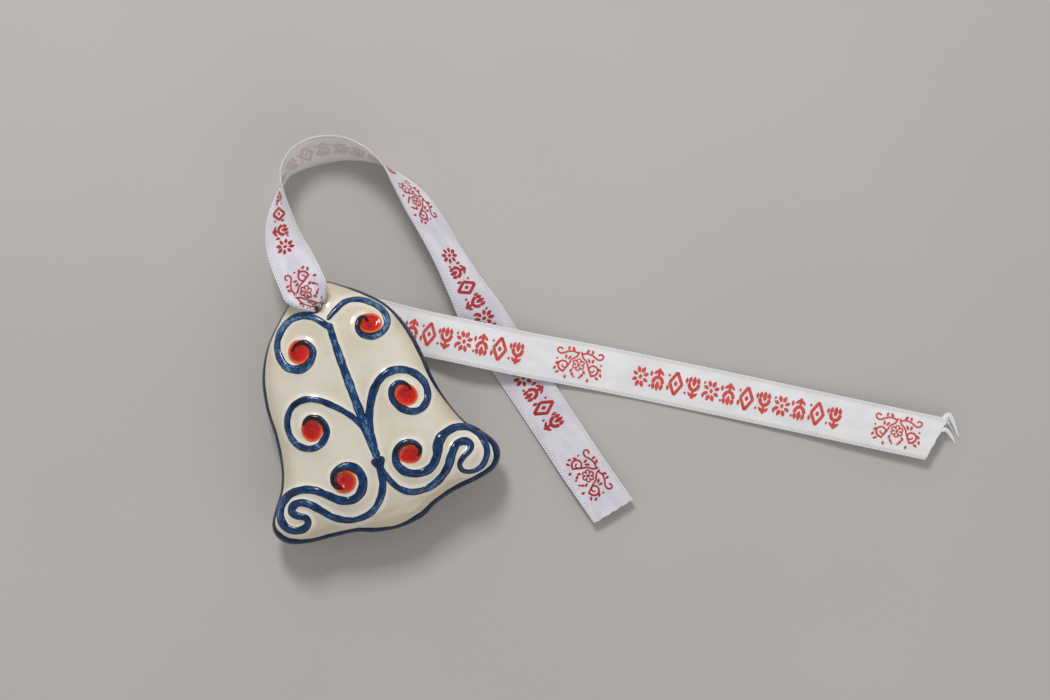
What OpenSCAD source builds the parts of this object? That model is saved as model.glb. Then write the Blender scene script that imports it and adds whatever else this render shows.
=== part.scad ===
// Flat hollow porcelain bell ornament, lying on its back, with a satin ribbon through its crown.
// The origin is on the surface that the bell lies on, under the middle of the bell's outline.
// +Z is up out of the front face, +Y points to the crown and +X to the right lip.

/* [Bell] */
// Height of the bell, from the crown to the tip of the moulded clapper
bell_h = 85; // [80:1:90]
// Width of the bell across its two lips
bell_w = 80; // [76:1:84]
// Rise of the front face above the seam
front_rise = 13; // [11:0.5:14]
// Height of the seam above the surface that the bell lies on
seam_z = 8.5; // [8:0.5:10]
// Thickness of the cast wall
wall = 3; // [2:0.5:4]

/* [Hanging hole] */
// Radius of the hanging hole
hole_r = 2.6; // [2.4:0.1:3]
// Distance from the crown down to the centre of the hanging hole
hole_drop = 7; // [6:0.5:8]
// How far the hole is pierced to the side of the middle line
hole_x = -1; // [-2:0.5:1]

/* [Relief] */
// Height of the raised lines above the face
line_rise = 0.9; // [0.5:0.1:1.2]
// Width of the stem and of the upper and middle scrolls
line_w = 2.1; // [1.8:0.1:2.8]
// Width of the lower scrolls
low_line_w = 2.5; // [2.2:0.1:3.2]
// Radius of the enamel dots
dot_r = 3.7; // [3:0.1:4]
// Height of the enamel dots above the face
dot_rise = 0.6; // [0.4:0.1:1]
// Width of the painted band at the seam, from front to back
band_w = 3; // [2:0.25:4]

/* [Ribbon] */
// Width of the satin ribbon
ribbon_w = 15; // [12:1:15]
// Thickness of the ribbon
ribbon_t = 0.4; // [0.3:0.05:0.5]

/* [Hidden] */

cream = "#e2dac6";
cobalt = "#1f4a86";
red = "#d8391f";
satin = "#e6e4ea";

// Plan points below are [across, down from the crown] for a bell of this height and width.
drawn_h = 85;
drawn_w = 80;
scale_x = bell_w / drawn_w;
scale_y = bell_h / drawn_h;

// The hand-made outline, from the crown down the right side to the clapper, and up the left side
outline_points = [
    [0, 0], [4.5, 0.2], [9, 3.1], [15.2, 8], [21.1, 14.6], [25, 23.5], [26.6, 33], [27.2, 43],
    [29.5, 53], [32.6, 60.2], [37.2, 65.4], [39.6, 70], [39.2, 74], [36, 77.3], [30, 78.8],
    [21, 79.8], [13.9, 81.6], [8.4, 84.2], [0, 85],
    [-8.2, 83.6], [-13.8, 81.5], [-21, 80.5], [-30, 79.5], [-36.2, 77.5], [-39.2, 74],
    [-39.3, 70], [-36.8, 65.7], [-32.7, 60.1], [-30, 53], [-28.5, 43], [-28, 33], [-25.8, 23.3],
    [-21.1, 14.7], [-15, 8.2], [-9, 3.1], [-4.5, 0.2]
];
outline_steps = 3;

// The face is flat where it is this far inside the outline, measured by inset()
full_inset = 20 * scale_x;
// How much deeper than the seam's height the back would be without its flat foot
foot_cut = 0.25;
back_power = 0.9;

// The shells are made of rings between the outline and a spine on the middle line
shell_rings = 10;
spine_top = 14;
spine_end = 62;

// How far a raised piece reaches down into the face that it is fused to
bite = 0.4;
// A raised line's cross-section: across as a share of half its width, and height as a share of its rise
line_section = [[-1, 0.1], [-0.62, 0.75], [0, 1], [0.62, 0.75], [1, 0.1]];
line_steps = 3;
crease_w = 1.6;
crease_rise = 0.25;
stem_w = 2.3;
dot_sides = 20;

// The decoration is a little smaller than it is drawn below, and sits a little off the middle line
relief_scale = 0.99;
relief_shift = [0.7, 0.5];

stem_route = [[1, 13.5], [0.7, 20], [0.6, 32], [0.7, 45], [0.9, 56], [1, 61]];
crease_route = [[-11, 78.2], [-5, 78.9], [0, 79.1], [5, 78.8], [11, 78]];
upper_left_route = [
    [0.6, 15], [-2.4, 10.9], [-6, 8.4], [-10.7, 8.2], [-15.1, 10.6], [-17.8, 14.5], [-18.2, 19.2],
    [-16.6, 23], [-12.6, 24.7], [-9, 23.4], [-7.1, 20.6], [-7.9, 17.9], [-9.8, 16.6], [-12.1, 16.9],
    [-13.8, 18.6]
];
upper_right_route = [
    [0.9, 12.4], [4.2, 10.4], [8.4, 8.7], [12.6, 9.4], [16.4, 12.1], [19, 15.8], [19.1, 19.8],
    [16.6, 22.2], [13.3, 22.6], [10.5, 21.2], [9.4, 19.2], [9.9, 17.2], [11.4, 15.7], [12.8, 16],
    [13.3, 17.8]
];
middle_left_route = [
    [0.4, 59], [0, 51], [-1.4, 46.6], [-4, 42.8], [-7.2, 39.4], [-11, 36.2], [-15.2, 34.6],
    [-19.7, 35.4], [-22.9, 38.9], [-23.9, 43.6], [-22.5, 47.8], [-19.2, 50.3], [-15.5, 50.4],
    [-12.2, 47.8], [-11.7, 44.6], [-13.1, 42], [-15.4, 40.9], [-17.4, 41.4], [-18.5, 42.8]
];
middle_right_route = [
    [1.2, 58], [2.3, 49.6], [4.6, 43.9], [8, 38.8], [12.3, 35.9], [17, 35.7], [21.4, 38.3],
    [23.8, 43], [23.1, 47.8], [20, 50.5], [16.4, 50.1], [13.5, 47.4], [12.3, 43.9], [13.2, 41.2],
    [15.4, 39.9], [17.4, 40.5], [18.6, 42], [19, 43.8]
];
lower_left_route = [
    [-12.8, 66.5], [-14.2, 65.8], [-15.2, 63.8], [-14.5, 61.5], [-12.6, 60], [-10.1, 59.8],
    [-7.7, 60.9], [-6.1, 63.6], [-6.3, 67], [-8.6, 70], [-11.9, 71], [-15.5, 69.7],
    [-18.8, 66.7], [-22.2, 63.8], [-26.4, 62.2], [-31, 62.4],
    [-34.8, 65], [-36.4, 68.7], [-35.6, 72.2], [-33, 74.3], [-30.2, 74.6], [-28.1, 73.3],
    [-28.2, 71.4], [-30.4, 69.9], [-32, 68.1], [-30.9, 66.3], [-28.2, 66], [-25.2, 67.8],
    [-22.2, 71.2], [-19.6, 74.3], [-15.6, 76.9], [-11.5, 77.7], [-6.9, 76.9], [-3.1, 74],
    [-0.7, 70.4], [0.3, 66.5], [0.6, 63.6]
];
lower_right_route = [
    [13.5, 64.8], [14.7, 63.9], [15, 62.2], [13.9, 60.2], [11.8, 59.3], [9.2, 59.7],
    [6.9, 61.9], [6.4, 65.3], [8.3, 68.5],
    [12.3, 70.3], [16.4, 69.8], [19.5, 66.9], [21.3, 63.2], [24, 61], [28, 60.2], [31.8, 61.5],
    [34.8, 64.8], [35.8, 68.8], [35, 72.3], [32.2, 75.2], [28.6, 75.8], [25.9, 74.5], [25.5, 72.2],
    [27.3, 70.4], [30, 69], [31.2, 67.2], [29.8, 65.5], [26.9, 65.5], [24.1, 68.3], [21.3, 71.9],
    [16.8, 74.9], [12, 76], [7.2, 75.1], [3.9, 72.3], [2.1, 68.6], [1.3, 66], [1.1, 63.6]
];

// The ribbon is bunched in the hole and spreads to its full width over this distance outside it
spread_length = 9;
bunch_r = 1.7;
// Each stop of the ribbon: [x, y, z, lean], in degrees that the ribbon's right-hand edge is lifted
front_stops = [
    [-1, 35.5, 11, 0], [-1, 35.5, 17.5, 0], [-1.2, 36.4, 19.8, 0], [-1.8, 39, 21, 0],
    [-2, 43.5, 20.6, 3], [-2.6, 50, 18.6, 10], [-3.2, 56, 16, 24], [-3, 62, 13.6, 38],
    [-1.6, 68.5, 11.4, 56], [0.6, 74.5, 9.4, 76], [3.6, 79.8, 8, 95], [8.8, 83, 7.1, 114],
    [15.5, 84, 6.7, 123], [23.5, 82.2, 6.9, 119], [30.4, 78, 7.6, 106], [35.8, 72, 7.9, 89],
    [39.3, 64.2, 7.4, 69], [42, 56, 6.4, 54], [44, 47, 6.1, 50], [45.6, 37, 6, 48],
    [47.4, 25, 4.8, 36], [48.8, 17, 2.8, 18], [50.2, 10, 1.2, 5], [51.8, 3, 0.6, 0],
    [53.4, -3, 0.6, 0], [56.4, -15, 0.6, 0], [59.8, -29, 1, 0], [63.6, -45, 1.8, 0],
    [68.3, -62.7, 2.7, 0]
];
back_stops = [
    [-1, 35.5, 11, 0], [-1, 35.5, 2.6, 0], [-0.5, 35.2, 1.4, 0], [2, 33.5, 0.7, 0],
    [8, 29.4, 0.4, 0], [16, 24, 0.5, 0], [24, 18.6, 1.5, 0], [31, 14, 3.8, 0],
    [38, 9.7, 5.8, 0], [45, 5.3, 5.8, 0], [52, 1, 4.8, 0], [60, -4, 3.2, 0],
    [70, -9.8, 1.5, 0], [86, -19.4, 0.7, 0], [100, -28, 0.6, 0], [115, -37.3, 0.8, 0],
    [138, -51.7, 1.4, 0], [155, -62.4, 2.2, 0], [179.2, -77.5, 3.1, 0]
];
ribbon_sides = 8;
front_steps = 2;

hole_y = bell_h / 2 - hole_drop * scale_y;
hole_centre = [hole_x, hole_y];

function unit(v) = v / norm(v);
function total(list) = [for (v = list) 1] * list;
function curve(a, b, c, d, t) =
    b + (t * (c - a) + t * t * (2 * a - 5 * b + 4 * c - d) + t * t * t * (3 * b - a - 3 * c + d)) / 2;
// A smooth curve through every point of a closed or an open list
function closed_curve(p, steps) = let (n = len(p)) [
    for (i = [0 : n - 1], j = [0 : steps - 1])
        curve(p[(i + n - 1) % n], p[i], p[(i + 1) % n], p[(i + 2) % n], j / steps)
];
function open_curve(p, steps) = let (n = len(p)) [
    for (i = [0 : n - 2], j = [0 : steps - 1])
        curve(p[max(i - 1, 0)], p[i], p[i + 1], p[min(i + 2, n - 1)], j / steps),
    p[n - 1]
];
function place(p) = [p.x * scale_x, bell_h / 2 - p.y * scale_y];
function placed(list) = [for (p = list) place(p)];
function place_relief(p) = place(p * relief_scale + relief_shift);

outline_n = outline_steps * len(outline_points);
outline = placed(closed_curve(outline_points, outline_steps));
outline_middle = outline_n / 2;

// inset() is a smooth distance to the outline: it is the true distance close to the edge,
// and it levels off towards the middle, so that a face built on it has no crease.
function edge_pull(p, a, b) =
    let (
        along = unit(b - a),
        near = (a - p) * along,
        far = (b - p) * along,
        off = max((a - p) * (a - p) - near * near, 0.0001)
    )
    (far / norm(b - p) - near / norm(a - p)) / off / 2;
function inset(p) = 1 / sqrt(total([
    for (i = [0 : outline_n - 1]) edge_pull(p, outline[i], outline[(i + 1) % outline_n])
]));
function swell(p) = let (q = 1 - min(inset(p) / full_inset, 1)) 1 - q * q;
function front_z(p) = seam_z + front_rise * sqrt(swell(p));
function back_z(p) = seam_z - (seam_z + foot_cut) * pow(swell(p), back_power);

// Plan points of the shell's rings, from the outline or from a line inside it by the wall
function spine_point(i) =
    let (down = (bell_h / 2 - outline[i].y) / bell_h)
    place([0, spine_top + (spine_end - spine_top) * down]);
function inward(i) =
    let (t = unit(outline[(i + 1) % outline_n] - outline[(i + outline_n - 1) % outline_n]))
    [t.y, -t.x];
function ring_share(k) = 1 - cos(90 * k / shell_rings);
function ring_point(i, k, inner) =
    let (start = outline[i] + inward(i) * inner, share = ring_share(k))
    start * (1 - share) + spine_point(i) * share;

// Faces between two rings of points, both given by their first index in the points list
function band_faces(a, b, n) = [
    for (i = [0 : n - 1], f = [0, 1])
        let (j = (i + 1) % n)
        f == 0 ? [a + i, a + j, b + j] : [a + i, b + j, b + i]
];
function flipped(faces) = [for (f = faces) [f[2], f[1], f[0]]];
// The last ring shares each spine point between its left and right sides
function spine_index(i) = i <= outline_middle ? i : outline_n - i;
function cap_faces(a, b) = [
    for (i = [0 : outline_n - 1], f = [0, 1])
        let (j = (i + 1) % outline_n)
        f == 0 ? [a + i, a + j, b + spine_index(j)] : [a + i, b + spine_index(j), b + spine_index(i)]
];

// One half of the hollow body. side is 1 for the front and -1 for the back.
module half_shell(side) {
    rise = side > 0 ? front_rise : seam_z;
    hollow = (rise - wall) / rise;
    layer = outline_n * shell_rings + outline_middle + 1;
    skin = [
        for (k = [0 : shell_rings - 1], i = [0 : outline_n - 1])
            let (p = ring_point(i, k, 0))
            [p.x, p.y, k == 0 ? seam_z : side > 0 ? front_z(p) : back_z(p)],
        for (i = [0 : outline_middle])
            let (p = spine_point(i))
            [p.x, p.y, side > 0 ? front_z(p) : back_z(p)]
    ];
    lining = [
        for (k = [0 : shell_rings - 1], i = [0 : outline_n - 1])
            let (p = ring_point(i, k, wall), z = skin[k * outline_n + i].z)
            [p.x, p.y, seam_z + (z - seam_z) * hollow],
        for (i = [0 : outline_middle])
            let (p = spine_point(i), z = skin[shell_rings * outline_n + i].z)
            [p.x, p.y, seam_z + (z - seam_z) * hollow]
    ];
    layer_faces = concat(
        [for (k = [0 : shell_rings - 2]) each band_faces(k * outline_n, (k + 1) * outline_n, outline_n)],
        cap_faces((shell_rings - 1) * outline_n, shell_rings * outline_n)
    );
    inner_faces = [for (f = layer_faces) [f[2] + layer, f[1] + layer, f[0] + layer]];
    faces = concat(layer_faces, inner_faces, flipped(band_faces(0, layer, outline_n)));
    polyhedron(points = concat(skin, lining), faces = side > 0 ? faces : flipped(faces));
}

module hanging_hole() {
    translate([hole_x, hole_y, -1])
        cylinder(r = hole_r, h = seam_z + front_rise + 2, $fn = 48);
}

module front_shell() {
    color(cream) difference() {
        half_shell(1);
        hanging_hole();
    }
}

module back_shell() {
    color(cream) difference() {
        half_shell(-1);
        hanging_hole();
        translate([-bell_w, -bell_h, -2])
            cube([2 * bell_w, 2 * bell_h, 2]);
    }
}

// The painted band is a crescent swept round the seam
module seam_band() {
    half = band_w / 2;
    section = [[-1.1, 0], [-0.7, half], [0, half * 0.85], [0.25, 0], [0, -half * 0.85], [-0.7, -half]];
    n = len(section);
    points = [
        for (i = [0 : outline_n - 1], s = section)
            let (p = outline[i] - inward(i) * s.x)
            [p.x, p.y, seam_z + s.y]
    ];
    faces = [
        for (i = [0 : outline_n - 1], k = [0 : n - 1], f = [0, 1])
            let (
                j = (i + 1) % outline_n,
                m = (k + 1) % n,
                a = i * n + k, b = j * n + k, c = j * n + m, d = i * n + m
            )
            f == 0 ? [a, c, b] : [a, d, c]
    ];
    color(cobalt) polyhedron(points = points, faces = faces);
}

// A line raised on the front face along a route of plan points, with tapered ends
module raised_line(route, width, rise, paint) {
    line = [for (p = open_curve(route, line_steps)) place_relief(p)];
    n = len(line);
    m = len(line_section);
    taper_rings = 4;
    points = [
        for (i = [0 : n - 1])
            let (
                t = unit(line[min(i + 1, n - 1)] - line[max(i - 1, 0)]),
                side = [t.y, -t.x],
                full = min(1, 0.6 + 0.4 * min(i, n - 1 - i) / taper_rings)
            )
            each concat(
                [for (s = line_section)
                    let (p = line[i] + side * s.x * width / 2 * full)
                    [p.x, p.y, front_z(p) + s.y * rise * full]],
                [for (e = [1, -1])
                    let (p = line[i] + side * e * width / 2 * full)
                    [p.x, p.y, front_z(p) - bite]]
            )
    ];
    k = m + 2;
    sides = [
        for (i = [0 : n - 2], s = [0 : k - 1], f = [0, 1])
            let (r = (s + 1) % k, a = i * k + s, b = i * k + r, c = (i + 1) * k + r, d = (i + 1) * k + s)
            f == 0 ? [a, c, b] : [a, d, c]
    ];
    ends = [
        for (s = [1 : k - 2])
            each [[0, s, s + 1], [(n - 1) * k, (n - 1) * k + s + 1, (n - 1) * k + s]]
    ];
    color(paint) polyhedron(points = points, faces = concat(sides, ends));
}

// A low boss on the front face, whose radius may change with the angle round it
module boss(centre, radii, rise, paint) {
    n = len(radii);
    middle = place_relief(centre);
    function at(i, share) = middle + share * radii[i] * [cos(360 * i / n), sin(360 * i / n)];
    rings = [[1, -bite], [1, 0.1], [0.8, rise * 0.7], [0.45, rise]];
    points = concat(
        [for (r = rings, i = [0 : n - 1])
            let (p = at(i, r[0]))
            [p.x, p.y, front_z(p) + r[1]]],
        [[middle.x, middle.y, front_z(middle) - bite], [middle.x, middle.y, front_z(middle) + rise]]
    );
    last = (len(rings) - 1) * n;
    tips = len(rings) * n;
    faces = concat(
        flipped([for (k = [0 : len(rings) - 2]) each band_faces(k * n, (k + 1) * n, n)]),
        [for (i = [0 : n - 1])
            let (j = (i + 1) % n)
            each [[i, j, tips], [last + j, last + i, tips + 1]]]
    );
    color(paint) polyhedron(points = points, faces = faces);
}

// A dot is a little longer in one direction than across it
module dot(centre, share, stretch, turn) {
    radii = [for (i = [0 : dot_sides - 1])
        dot_r * share * (1 + stretch * cos(720 * i / dot_sides - 2 * turn))];
    boss(centre, radii, dot_rise, red);
}

module stem() { raised_line(stem_route, stem_w, line_rise, cobalt); }
module rim_crease() { raised_line(crease_route, crease_w, crease_rise, cream); }
module scroll_upper_left() { raised_line(upper_left_route, line_w, line_rise, cobalt); }
module scroll_upper_right() { raised_line(upper_right_route, line_w, line_rise, cobalt); }
module scroll_middle_left() { raised_line(middle_left_route, line_w, line_rise, cobalt); }
module scroll_middle_right() { raised_line(middle_right_route, line_w, line_rise, cobalt); }
module scroll_lower_left() { raised_line(lower_left_route, low_line_w, line_rise, cobalt); }
module scroll_lower_right() { raised_line(lower_right_route, low_line_w, line_rise, cobalt); }

// The knot is heart-like, with its notch towards the crown
module knot() {
    lobes = [for (i = [0 : dot_sides - 1])
        let (a = 360 * i / dot_sides)
        2.2 + 0.35 * pow(cos(a), 2) - 0.45 * pow(max(sin(a), 0), 6)];
    boss([0.8, 62.4], lobes, line_rise + 0.5, cobalt);
}

module dot_upper_left() { dot([-11.5, 19.2], 1.04, 0.05, 70); }
module dot_upper_right() { dot([13.5, 18.2], 1, 0.09, -20); }
module dot_middle_left() { dot([-16.1, 44.6], 1.05, 0.07, 70); }
module dot_middle_right() { dot([16.8, 44.4], 1.03, 0.05, -55); }
module dot_lower_left() { dot([-12, 64.4], 1.07, 0.02, 0); }
module dot_lower_right() { dot([11.4, 63.1], 0.98, 0.1, -20); }

// The ribbon's cross-section is a flat octagon, and is bunched to a round one in the hole
module ribbon(stops) {
    n = len(stops);
    spots = [for (s = stops) [s.x, s.y, s.z]];
    function plan(v) = norm([v.x, v.y]) < 0.01 ? [0, 1] : unit([v.x, v.y]);
    points = [
        for (i = [0 : n - 1])
            let (
                way = unit(spots[min(i + 1, n - 1)] - spots[max(i - 1, 0)]),
                ahead = plan(i < 2 ? spots[3] - spots[0] : way),
                right = [ahead.y, -ahead.x, 0],
                lean = stops[i][3],
                across = unit(right * cos(lean) + [0, 0, sin(lean)]),
                out = norm([spots[i].x, spots[i].y] - hole_centre),
                open = i < 2 ? 0 : min(1, out / spread_length),
                width = 2 * bunch_r + (ribbon_w - 2 * bunch_r) * sin(90 * open),
                thick = ribbon_t + (2 * bunch_r - ribbon_t) * pow(1 - open, 6),
                up = unit(cross(across, way))
            )
            for (k = [0 : ribbon_sides - 1])
                let (a = 360 * (k + 0.5) / ribbon_sides, square = 1 / cos(180 / ribbon_sides))
                spots[i] + across * (width / 2) * square * cos(a) + up * (thick / 2) * square * sin(a)
    ];
    sides = [
        for (i = [0 : n - 2], s = [0 : ribbon_sides - 1], f = [0, 1])
            let (
                r = (s + 1) % ribbon_sides,
                a = i * ribbon_sides + s, b = i * ribbon_sides + r,
                c = (i + 1) * ribbon_sides + r, d = (i + 1) * ribbon_sides + s
            )
            f == 0 ? [a, b, c] : [a, c, d]
    ];
    last = (n - 1) * ribbon_sides;
    ends = [
        for (s = [1 : ribbon_sides - 2])
            each [[0, s + 1, s], [last, last + s, last + s + 1]]
    ];
    color(satin) polyhedron(points = points, faces = concat(sides, ends));
}

module ribbon_front_strand() { ribbon(open_curve(front_stops, front_steps)); }
module ribbon_back_strand() { ribbon(back_stops); }

front_shell();
back_shell();
seam_band();
rim_crease();
stem();
knot();
scroll_upper_left();
scroll_upper_right();
scroll_middle_left();
scroll_middle_right();
scroll_lower_left();
scroll_lower_right();
dot_upper_left();
dot_upper_right();
dot_middle_left();
dot_middle_right();
dot_lower_left();
dot_lower_right();
ribbon_front_strand();
ribbon_back_strand();
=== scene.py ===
import math

import bpy
import numpy as np
from mathutils import Matrix, Vector
from mathutils.kdtree import KDTree
from numpy.linalg import norm


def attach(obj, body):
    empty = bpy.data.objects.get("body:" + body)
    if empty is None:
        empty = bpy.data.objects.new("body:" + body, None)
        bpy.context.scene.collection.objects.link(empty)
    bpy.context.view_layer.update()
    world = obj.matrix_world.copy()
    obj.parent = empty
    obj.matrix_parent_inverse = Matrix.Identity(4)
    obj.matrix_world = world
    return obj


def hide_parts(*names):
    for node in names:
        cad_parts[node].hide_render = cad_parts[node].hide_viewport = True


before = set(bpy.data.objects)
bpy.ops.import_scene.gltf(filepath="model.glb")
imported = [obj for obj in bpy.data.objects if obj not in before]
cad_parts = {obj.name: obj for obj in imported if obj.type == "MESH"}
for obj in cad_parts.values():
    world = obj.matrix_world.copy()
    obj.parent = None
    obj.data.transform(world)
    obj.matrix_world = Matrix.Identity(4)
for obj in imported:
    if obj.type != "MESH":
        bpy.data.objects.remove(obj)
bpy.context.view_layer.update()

scene = bpy.context.scene
MM = 0.001

# ---------------- camera
VIEW_TURN = math.radians(-20)
camera_data = bpy.data.cameras.new("camera")
camera_data.lens, camera_data.sensor_width = 100, 36
camera_data.clip_start, camera_data.clip_end = 0.01, 20
camera = bpy.data.objects.new("camera", camera_data)
scene.collection.objects.link(camera)
camera.location = (0.0588, -0.0016, 0.971)
camera.rotation_euler = (0, 0, VIEW_TURN)
scene.camera = camera

# ---------------- sizes, in millimetres, as in the CAD
BELL_H = 85
SEAM_Z, FRONT_RISE, WALL = 8.5, 13, 3
# The face is fully up this far in from the outline
FULL_INSET = 20
BACK_DEPTH, BACK_POWER = 8.75, 0.9
HOLE, HOLE_R = np.array([-1.0, 35.5]), 2.6
SPINE_TOP, SPINE_END = 14, 62
RIBBON_W, RIBBON_T, INK_T = 15, 0.3, 0.035
# What is painted on the face reaches this far into it
SUNK = 0.4
# Steps of a fine curve between two points of its route
FINE = 24

outline_points = [[0, 0], [4.5, 0.2], [9, 3.1], [15.2, 8], [21.1, 14.6], [25, 23.5], [26.6, 33],
    [27.2, 43], [29.5, 53], [32.6, 60.2], [37.2, 65.4], [39.6, 70], [39.2, 74], [36, 77.3], [30, 78.8],
    [21, 79.8], [13.9, 81.6], [8.4, 84.2], [0, 85], [-8.2, 83.6], [-13.8, 81.5], [-21, 80.5],
    [-30, 79.5], [-36.2, 77.5], [-39.2, 74], [-39.3, 70], [-36.8, 65.7], [-32.7, 60.1], [-30, 53],
    [-28.5, 43], [-28, 33], [-25.8, 23.3], [-21.1, 14.7], [-15, 8.2], [-9, 3.1], [-4.5, 0.2]]
# Width of the cobalt paint at the seam, seen from the front, at each of those points
band_widths = [0.35, 0.35, 0.4, 0.7, 0.75, 1.2, 1.3, 1, 0.5, 0.6, 1.3, 2.1, 2.1, 1.7, 1.5, 1.45, 1.35,
    1.7, 1.1, 1.4, 1.2, 1.3, 1.3, 1.8, 1.7, 1, 0.65, 0.65, 0.7, 0.9, 0.85, 0.8, 0.5, 0.4, 0.4, 0.35]
# The decoration is a little smaller than it is drawn, and off the middle line, as in the CAD
relief_scale, relief_shift = 0.99, np.array([0.7, 0.5])
# Each painted line: its route, and how wide the brush laid it there: the number of a point of
# the route, and the width at that point
lines = {
    "stem": ([[1, 13.5], [0.7, 20], [0.6, 32], [0.7, 45], [0.9, 56], [1, 61]],
        [(0, 2), (1, 2.5), (2, 2.9), (4, 2.9), (5, 2.6)]),
    "scroll_upper_left": ([[0.6, 15], [-2.4, 10.9], [-6, 8.4], [-10.7, 8.2], [-15.1, 10.6],
        [-17.8, 14.5], [-18.2, 19.2], [-16.6, 23], [-12.6, 24.7], [-9, 23.4], [-7.1, 20.6],
        [-7.9, 17.9], [-9.8, 16.6], [-12.1, 16.9], [-13.8, 18.6]],
        [(0, 2.1), (2, 2.5), (5, 2.5), (6, 2.6), (8, 3), (10, 2.5), (12, 1.9), (14, 0.9)]),
    "scroll_upper_right": ([[0.9, 12.4], [4.2, 10.4], [8.4, 8.7], [12.6, 9.4], [16.4, 12.1],
        [19, 15.8], [19.1, 19.8], [16.6, 22.2], [13.3, 22.6], [10.5, 21.2], [9.4, 19.2],
        [9.9, 17.2], [11.4, 15.7], [12.8, 16], [13.3, 17.8]],
        [(0, 1.7), (1, 1.9), (3, 1.9), (6, 2.2), (8, 2.4), (10, 2.1), (12, 1.9), (14, 1)]),
    "scroll_middle_left": ([[0.4, 59], [0, 51], [-1.4, 46.6], [-4, 42.8], [-7.2, 39.4], [-11, 36.2],
        [-15.2, 34.6], [-19.7, 35.4], [-22.9, 38.9], [-23.9, 43.6], [-22.5, 47.8], [-19.2, 50.3],
        [-15.5, 50.4], [-12.2, 47.8], [-11.7, 44.6], [-13.1, 42], [-15.4, 40.9], [-17.4, 41.4],
        [-18.5, 42.8]],
        [(0, 1.7), (4, 2.1), (8, 2.2), (12, 2.3), (14, 2.5), (16, 2.1), (18, 1)]),
    "scroll_middle_right": ([[1.2, 58], [2.3, 49.6], [4.6, 43.9], [8, 38.8], [12.3, 35.9],
        [17, 35.7], [21.4, 38.3], [23.8, 43], [23.1, 47.8], [20, 50.5], [16.4, 50.1], [13.5, 47.4],
        [12.3, 43.9], [13.2, 41.2], [15.4, 39.9], [17.4, 40.5], [18.6, 42], [19, 43.8]],
        [(0, 2.2), (2, 2.8), (5, 2.6), (8, 2.3), (11, 2.5), (13, 2.3), (16, 1.2)]),
    "scroll_lower_left": ([[-12.8, 66.5], [-14.2, 65.8], [-15.2, 63.8], [-14.5, 61.5], [-12.6, 60],
        [-10.1, 59.8], [-7.7, 60.9], [-6.1, 63.6], [-6.3, 67], [-8.6, 70], [-11.9, 71],
        [-15.5, 69.7], [-18.8, 66.7], [-22.2, 63.8], [-26.4, 62.2], [-31, 62.4], [-34.8, 65],
        [-36.4, 68.7], [-35.6, 72.2], [-33, 74.3], [-30.2, 74.6], [-28.1, 73.3], [-28.2, 71.4],
        [-30.4, 69.9], [-32, 68.1], [-30.9, 66.3], [-28.2, 66], [-25.2, 67.8], [-22.2, 71.2],
        [-19.6, 74.3], [-15.6, 76.9], [-11.5, 77.7], [-6.9, 76.9], [-3.1, 74], [-0.7, 70.4],
        [0.3, 66.5], [0.6, 63.6]],
        [(0, 1.1), (2, 2.3), (4, 2.8), (7, 3.1), (10, 2.9), (13, 2.6), (15, 2.7), (17, 3),
        (19, 2.8), (21, 2.3), (23, 2.5), (25, 2.7), (27, 2.6), (29, 2.4), (31, 2.1), (33, 2.4),
        (36, 2.7)]),
    "scroll_lower_right": ([[13.5, 64.8], [14.7, 63.9], [15, 62.2], [13.9, 60.2], [11.8, 59.3],
        [9.2, 59.7], [6.9, 61.9], [6.4, 65.3], [8.3, 68.5], [12.3, 70.3], [16.4, 69.8],
        [19.5, 66.9], [21.3, 63.2], [24, 61], [28, 60.2], [31.8, 61.5], [34.8, 64.8], [35.8, 68.8],
        [35, 72.3], [32.2, 75.2], [28.6, 75.8], [25.9, 74.5], [25.5, 72.2], [27.3, 70.4], [30, 69],
        [31.2, 67.2], [29.8, 65.5], [26.9, 65.5], [24.1, 68.3], [21.3, 71.9], [16.8, 74.9],
        [12, 76], [7.2, 75.1], [3.9, 72.3], [2.1, 68.6], [1.3, 66], [1.1, 63.6]],
        [(0, 1), (2, 1.9), (4, 2.3), (6, 2.7), (10, 2.8), (11.5, 3.3), (12.5, 3.5), (14, 2.6),
        (15, 2.1), (16, 2.2), (18, 2.2), (20, 1.6), (22, 1.7), (25, 2.3), (27, 2.7), (29, 2.9),
        (31, 2.3), (36, 1.8)]),
}
crease_route = [[-11, 78.2], [-5, 78.9], [0, 79.1], [5, 78.8], [11, 78]]
# Each dot's centre, size, stretch and the direction it is stretched in
dots = {
    "dot_upper_left": ([-11.5, 19.2], 1.04, 0.05, 70),
    "dot_upper_right": ([13.5, 18.2], 1, 0.09, -20),
    "dot_middle_left": ([-16.1, 44.6], 1.05, 0.07, 70),
    "dot_middle_right": ([16.8, 44.4], 1.03, 0.05, -55),
    "dot_lower_left": ([-12, 64.4], 1.07, 0.02, 0),
    "dot_lower_right": ([11.4, 63.1], 0.98, 0.1, -20),
}
DOT_R = 3.7
KNOT = [0.8, 62.4]

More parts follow.
